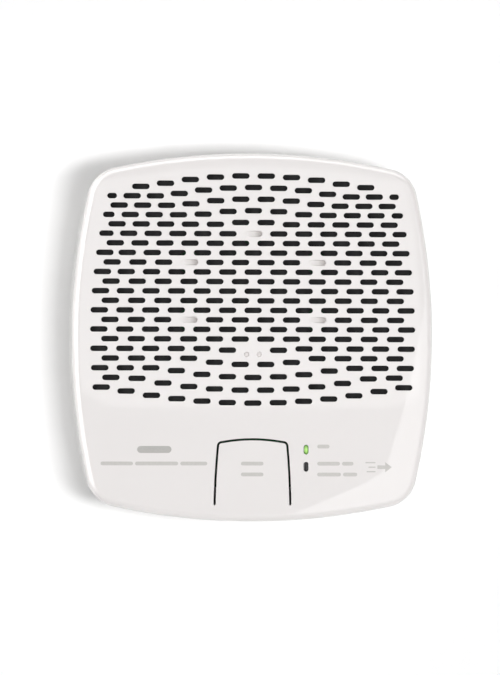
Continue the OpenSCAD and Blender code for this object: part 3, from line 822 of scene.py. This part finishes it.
def foil_label(name):
    """Silver label with plain ruled lines in place of its print."""
    m = Nodes(name)
    parts = m.node("ShaderNodeSeparateXYZ")
    m.link(m.coords, parts.inputs[0])
    rows = m.node("ShaderNodeMath", operation="MULTIPLY")
    m.link(parts.outputs["Z"], rows.inputs[0])
    rows.inputs[1].default_value = 420.0
    fraction = m.node("ShaderNodeMath", operation="FRACT")
    m.link(rows.outputs[0], fraction.inputs[0])
    words = m.node("ShaderNodeMath", operation="MULTIPLY")
    m.link(m.noise(260, 0, 0.0), words.inputs[0])
    line = m.span(fraction.outputs[0], 0.0, 1.0, 0.62, 0.66)
    m.link(line, words.inputs[1])
    m.colour(m.ramp(words.outputs[0], [(0.46, (0.66, 0.66, 0.65)), (0.50, (0.22, 0.22, 0.22))]))
    m.rough(m.span(m.noise(500), 0.3, 0.42))
    m.normal(m.bump(m.noise(180), 0.08, 0.0002))
    m.set(Metallic=0.25)
    return m.material


def board(name):
    """Green solder mask over faint copper tracks."""
    m = Nodes(name)
    brick = m.node("ShaderNodeTexBrick")
    m.link(m.coords, brick.inputs["Vector"])
    brick.inputs["Scale"].default_value = 160
    brick.inputs["Mortar Size"].default_value = 0.03
    brick.inputs["Color1"].default_value = (0.004, 0.045, 0.016, 1)
    brick.inputs["Color2"].default_value = (0.005, 0.055, 0.019, 1)
    brick.inputs["Mortar"].default_value = (0.012, 0.09, 0.03, 1)
    m.colour(brick.outputs["Color"])
    m.rough(m.span(m.noise(300), 0.25, 0.4))
    m.normal(m.bump(brick.outputs["Fac"], 0.2, 0.00005))
    return m.material


COVER = plastic("cover_plastic", (0.80, 0.772, 0.763), 0.022, grain=0.001, tone=0.004, waves=0.003)
# painted shade: blind slots and dimples go from near the cover's colour to a deep grey the further they lie
# below the face
RECESS_PAINTED_SHADE = recess_painted_shade("recess_painted_shade", (0.76, 0.733, 0.724), (0.68, 0.655, 0.645), (0.49, 0.465, 0.455))
HOUSING = plastic("housing_plastic", (0.80, 0.792, 0.772), 0.5, grain=0.35)
BRACKET_PLASTIC = plastic("bracket_plastic", (0.78, 0.77, 0.75), 0.42, grain=0.2)
BLACK = plastic("black_plastic", (0.02, 0.02, 0.021), 0.45, grain=0.2)
RED = plastic("red_plastic", (0.55, 0.05, 0.035), 0.3)
WHITE = plastic("white_plastic", (0.8, 0.8, 0.78), 0.35)
SLEEVE = plastic("cell_sleeve", (0.04, 0.08, 0.19), 0.22, coat=0.3)
CAN = plastic("capacitor_sleeve", (0.03, 0.035, 0.07), 0.25, coat=0.3)
FERRITE = plastic("ferrite", (0.055, 0.055, 0.06), 0.6, grain=0.5)
CERAMIC = plastic("ceramic", (0.74, 0.71, 0.62), 0.5)
STEEL = metal("screw_steel", (0.56, 0.56, 0.57), 0.3)
SPRING_STEEL = metal("spring_steel", (0.68, 0.67, 0.64), 0.22)
TINNED = metal("tinned_metal", (0.70, 0.71, 0.72), 0.3)
BRASS = metal("brass_plate", (0.72, 0.52, 0.22), 0.28)
SCREEN = mesh_cloth("dark_mesh")
LABEL = foil_label("label_foil")
BOARD = board("board_green")
GREY_INK = ink("grey_print", (0.50, 0.485, 0.465))
DARK_INK = ink("grey_print_dark", (0.40, 0.39, 0.375))


def pipe_centre(node):
    low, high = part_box(node)
    return ((low.x + high.x) / 2, 0.0, (low.z + high.z) / 2)


GREEN_LIGHT = lit_pipe("green_light", (0.44, 0.78, 0.20), (0.12, 0.29, 0.05), 0.08,
                       pipe_centre("power_light_pipe"))
DARK_LIGHT = plastic("dark_light", (0.006, 0.006, 0.006), 0.15)
LED_GREEN = plastic("led_green", (0.3, 0.75, 0.2), 0.15)
LED_RED = plastic("led_red", (0.6, 0.05, 0.04), 0.15)

NODE_MATERIALS = {
    "dust_screen": SCREEN, "circuit_board": BOARD, "power_led": LED_GREEN, "alarm_led": LED_RED,
    "test_switch_body": BLACK, "test_switch_plunger": RED, "sounder_base": BLACK,
    "sounder_cap": BLACK, "piezo_plate": BRASS, "piezo_ceramic": CERAMIC, "sensor_cell": TINNED,
    "sensor_cap": WHITE, "sensor_pins": BRASS, "controller_chip": BLACK, "chip_legs": TINNED,
    "capacitors": CAN, "boost_inductor": FERRITE, "chip_resistors": BLACK,
    "timing_crystal": TINNED, "rear_housing": HOUSING, "battery_door": HOUSING,
    "battery_cells": SLEEVE, "battery_caps": TINNED, "positive_contact": SPRING_STEEL,
    "negative_contact": SPRING_STEEL, "contact_link": SPRING_STEEL,
    "contact_springs": SPRING_STEEL, "housing_screws": STEEL, "board_screws": STEEL,
    "wall_bracket": BRACKET_PLASTIC, "rating_label": LABEL,
    "front_cover": COVER, "button_hinge_web": COVER, "test_button": COVER,
    "power_light_pipe": GREEN_LIGHT, "alarm_light_pipe": DARK_LIGHT,
}
for node_name, material in NODE_MATERIALS.items():
    node_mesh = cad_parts[node_name].data
    node_mesh.materials.clear()
    node_mesh.materials.append(material)


# ------------------------------------------------------------------ light guides and print

GUIDE_CLEAR = 0.1       # between a light guide and its window
GUIDE_SUNK = 0.06       # its tip below the face
FLANGE_T = 0.8
DOME = ((-0.5, 0.0, 0.05), (-0.25, 0.03, 0.3), (-0.08, 0.1, 0.8), (0.0, 0.22, 1.0))


def light_guide(name, node, material, slot):
    """A light guide with a slightly domed tip in its window and a flange behind the cover.

    DOME lists the rings of the tip: how far each lies outside the edge, its drop, and its normal's tilt.
    """
    low, high = face_box(node)
    x, y = (low.x + high.x) / 2, (low.y + high.y) / 2
    tip = stadium_hole(x, y, WINDOW_H - GUIDE_CLEAR, WINDOW_W - GUIDE_CLEAR, upright=True, end_steps=12)
    flange = stadium_hole(x, y, high.y - low.y, high.x - low.x, upright=True, end_steps=12)
    mesh = Mesh()
    up = np.array((0.0, 0.0, 1.0))
    out = [np.array((dx, dy, 0.0)) for dx, dy in tip.outward]
    rings = []
    for grow, drop, tilt in DOME:
        ids = mesh.add([(px, py, FRONT_Z - GUIDE_SUNK - drop) for px, py in tip.ring(grow)])
        rings.append((ids, [up * (1 - tilt) + o * tilt for o in out]))
    mesh.face(rings[0][0], rings[0][1])
    flange_z = FRONT_Z - WALL_T
    for shape, z in ((tip, flange_z), (flange, flange_z), (flange, flange_z - FLANGE_T),
                     (tip, flange_z - FLANGE_T), (tip, low.z)):
        rings.append((mesh.add([(px, py, z) for px, py in shape.ring(0)]), out))
    for (a, na), (b, nb) in zip(rings, rings[1:]):
        mesh.strip(b, a, nb, na)
    mesh.face(rings[-1][0][::-1], [-up] * len(out))
    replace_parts(mesh.build(name, [material], DETECTOR, slot), node)


def bar(mesh, x, y, length, height):
    """A printed bar with round ends that follows the face."""
    reach, r = max(length - height, 0) / 2, height / 2
    turns = [math.pi / 2 * n / 4 for n in range(1, 4)]
    ends = [(reach + r * math.cos(a), r * math.sin(a)) for a in turns]
    count = max(2, round(2 * reach))
    straight = [(reach - 2 * reach * n / count, r) for n in range(count + 1)]
    half = [(reach + r, 0.0)] + ends + straight + [(-px, py) for px, py in ends[::-1]] + [(-reach - r, 0.0)]
    upper = [(x + px, y + py) for px, py in half]
    lower = [(x + px, y - py) for px, py in half]
    print_shape(mesh, upper + lower[-2:0:-1], [upper, lower])


PRINT_PROUD, PRINT_SUNK = 0.015, 0.05      # how far print reaches above and below the face
WORD_GAP = 0.55                            # between words, as a share of their height


def print_shape(mesh, ring, halves=None):
    """A printed area: a very thin plate on the face. halves are its two long edges, if it is a bar."""
    top = mesh.add([(px, py, face_z(px, py) + PRINT_PROUD) for px, py in ring])
    low = mesh.add([(px, py, face_z(px, py) - PRINT_SUNK) for px, py in ring])
    normals = [face_normal(px, py) for px, py in ring]
    mesh.strip(low, top, normals, normals)
    if halves is None:
        mesh.face(top, normals)
        mesh.face(low[::-1], [-n for n in normals])
        return
    place = {point: n for n, point in enumerate(ring)}
    upper, lower = ([place[point] for point in half] for half in halves)
    for quad in zip(upper, upper[1:], lower[1:], lower):
        corners = [v for n, v in enumerate(quad) if v not in quad[:n]]
        mesh.face([top[v] for v in corners], [normals[v] for v in corners])
        mesh.face([low[v] for v in corners[::-1]], [-normals[v] for v in corners[::-1]])


def words(mesh, x0, x1, y, height, lengths):
    """A line of plain bars, as long as words, that fills x0 to x1."""
    gap = height * WORD_GAP
    scale = (x1 - x0 - gap * (len(lengths) - 1)) / sum(lengths)
    x = x0
    for part in lengths:
        w = part * scale
        bar(mesh, x + w / 2, y, w, height)
        x += w + gap


PRINT_H, BADGE_H = 1.25, 2.3
LINE_1_Y, LINE_2_Y, LINE_3_Y = -36.15, -41.85, -45.45
BESIDE_WINDOWS_X = 21.5
SPEED_LINES = (3.4, 2.4, 3.0)
SPEED_LINE_PITCH, SPEED_LINE_H = 1.5, 0.4
ARROW_Y = -43.0


def print_marks():
    """Generic marks where the case is printed: plain bars and an arrow, no lettering."""
    badge = Mesh()
    words(badge, -38.4, -27.0, -37.2, BADGE_H, (1,))
    badge.build("print_badge", [DARK_INK], DETECTOR, "cover_plastic")
    case = Mesh()
    words(case, -50.5, -15.1, LINE_2_Y, PRINT_H, (6, 8, 5))
    words(case, BESIDE_WINDOWS_X, 25.6, LINE_1_Y, PRINT_H, (2,))
    words(case, BESIDE_WINDOWS_X, 33.6, LINE_2_Y, PRINT_H, (4, 2))
    words(case, BESIDE_WINDOWS_X, 34.9, LINE_3_Y, PRINT_H, (5, 3))
    for n, length in enumerate(SPEED_LINES):
        y = ARROW_Y + SPEED_LINE_PITCH * (1 - n)
        bar(case, 41 - length / 2, y, length, SPEED_LINE_H)
    arrow = [(41.6, -0.6), (44.2, -0.6), (44.2, -1.7), (46.4, 0), (44.2, 1.7), (44.2, 0.6), (41.6, 0.6)]
    print_shape(case, [(x, ARROW_Y + dy) for x, dy in arrow])
    case.build("print_marks", [GREY_INK], DETECTOR, "cover_plastic")
    button = Mesh()
    for y in (LINE_2_Y, LINE_3_Y):
        words(button, -3.9, 3.6, y, PRINT_H, (1,))
    button.build("print_on_button", [GREY_INK], BUTTON, "cover_plastic")


front = make_front()
# the cover's second material paints shade into the blind slots and dimples
cover_piece = front["cover"].build("cover_shell", [COVER, RECESS_PAINTED_SHADE], DETECTOR, "cover_plastic")
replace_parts(cover_piece, "front_cover")
button_piece = front["button"].build("button_flap", [COVER], BUTTON, "cover_plastic")
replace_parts(button_piece, "test_button")
web_piece = front["web"].build("button_web", [COVER], None, "cover_plastic")
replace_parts(web_piece, "button_hinge_web")
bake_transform(web_piece)
light_guide("power_light_guide", "power_light_pipe", GREEN_LIGHT, "green_light")
light_guide("alarm_light_guide", "alarm_light_pipe", DARK_LIGHT, "dark_light")
print_marks()


# ------------------------------------------------------------------ stage, light and camera

def backdrop_material(name, tone, behind_clear=False, glow=0.0):
    """Plain white. The wall is clear from behind, so that the alarm's back can be seen."""
    m = Nodes(name)
    m.colour(m.ramp(m.noise(3), [(0.3, (tone,) * 3), (0.7, (tone + 0.01,) * 3)]))
    m.set(Roughness=0.9, Emission_Strength=glow)
    m.shader.inputs["Emission Color"].default_value = (1, 1, 1, 1)
    m.shader.inputs["Specular IOR Level"].default_value = 0.0
    if behind_clear:
        facing = m.node("ShaderNodeNewGeometry").outputs["Backfacing"]
        clear = m.node("ShaderNodeBsdfTransparent")
        mix = m.node("ShaderNodeMixShader")
        m.link(facing, mix.inputs[0])
        m.link(m.shader.outputs[0], mix.inputs[1])
        m.link(clear.outputs[0], mix.inputs[2])
        m.link(mix.outputs[0], m.tree.nodes["Material Output"].inputs["Surface"])
    return m.material


def plane(name, corners, material):
    mesh = bpy.data.meshes.new(name)
    mesh.from_pydata(corners, [], [(0, 1, 2, 3)])
    obj = bpy.data.objects.new(name, mesh)
    bpy.context.scene.collection.objects.link(obj)
    mesh.materials.append(material)
    return obj


def area_light(name, place, size, power, aim=None, spin=0.0, diffuse=True, glossy=True):
    """A soft box aimed at the alarm unless told otherwise; place is counted from the alarm's middle."""
    data = bpy.data.lights.new(name, "AREA")
    data.shape = "RECTANGLE"
    data.size, data.size_y = size
    data.energy = power
    obj = bpy.data.objects.new(name, data)
    bpy.context.scene.collection.objects.link(obj)
    obj.location = middle + Vector(place)
    look = Vector(aim or [-c for c in place]).to_track_quat("-Z", "Y")
    obj.rotation_euler = (look @ Quaternion((0, 0, 1), math.radians(spin))).to_euler()
    obj.visible_camera = False
    obj.visible_diffuse, obj.visible_glossy = diffuse, glossy


WALL_Y = cad_high.y + 0.0003
FLOOR_Z = cad_low.z - 0.8
WALL_REACH, FLOOR_REACH = 1.6, 3
wall = plane("backdrop_wall",
             [(WALL_REACH, WALL_Y, WALL_REACH), (-WALL_REACH, WALL_Y, WALL_REACH),
              (-WALL_REACH, WALL_Y, FLOOR_Z), (WALL_REACH, WALL_Y, FLOOR_Z)],
             backdrop_material("backdrop_wall", 0.94, behind_clear=True, glow=0.04))
wall.visible_shadow = False
plane("backdrop_floor",
      [(-FLOOR_REACH, -FLOOR_REACH, FLOOR_Z), (FLOOR_REACH, -FLOOR_REACH, FLOOR_Z),
       (FLOOR_REACH, FLOOR_REACH, FLOOR_Z), (-FLOOR_REACH, FLOOR_REACH, FLOOR_Z)],
      backdrop_material("backdrop_floor", 0.6))

# The key throws the soft shadow up and to the left. The panels are only seen mirrored in the cover:
# corner_panel gives the sharp-edged patch at its lower right, upper_panel the lighter slot field.
area_light("key", (0.208, -1.18, -0.073), (0.32, 0.16), 9.2, glossy=False)
area_light("side_fill", (-1.15, -0.14, 0.75), (0.2, 0.6), 9)
area_light("left_panel", (-0.67, -0.44, 0.1), (0.8, 1.0), 18, diffuse=False)
area_light("top_panel", (0, -0.3, 0.6), (1.2, 0.4), 9, diffuse=False)
area_light("corner_panel", (0.227, -0.419, -0.117), (0.36, 0.30), 0.74, aim=(0, 1, 0), spin=54.8,
           diffuse=False)
area_light("upper_panel", (0.06, -1.02, 0.061), (0.36, 0.20), 0.3, aim=(0, 1, 0), diffuse=False)
area_light("back_fill", (-0.6, 0.8, 0.5), (0.8, 0.8), 3)

world = bpy.data.worlds.new("studio")
bpy.context.scene.world = world
world.use_nodes = True
background = world.node_tree.nodes["Background"]
background.inputs["Color"].default_value = (1, 1, 1, 1)
background.inputs["Strength"].default_value = 0.36
bpy.context.scene.view_settings.view_transform = "Standard"

CASE_IN_PICTURE = 0.73                   # share of the picture's width that the case fills
MEASURED_DEPTH = 6                       # this far behind the face, where its outline is widest
CAMERA_AIM = Vector((0.0003, -0.02, middle.z))
CAMERA_DISTANCE = 1.5
CAMERA_TURN = math.radians(-4.2)         # seen from slightly to the left
CAMERA_ROLL = math.radians(0.19)


def make_camera():
    data = bpy.data.cameras.new("camera")
    data.sensor_fit = "HORIZONTAL"
    data.sensor_width = 36
    view_w = CASE_W * MM / CASE_IN_PICTURE
    data.lens = data.sensor_width * (CAMERA_DISTANCE - (FRONT_Z - MEASURED_DEPTH) * MM) / view_w
    camera = bpy.data.objects.new("camera", data)
    bpy.context.scene.collection.objects.link(camera)
    away = Vector((math.sin(CAMERA_TURN), -math.cos(CAMERA_TURN), 0))
    camera.location = CAMERA_AIM + CAMERA_DISTANCE * away
    look = (-away).to_track_quat("-Z", "Y")
    camera.rotation_euler = (look @ Quaternion((0, 0, 1), CAMERA_ROLL)).to_euler()
    bpy.context.scene.camera = camera


make_camera()
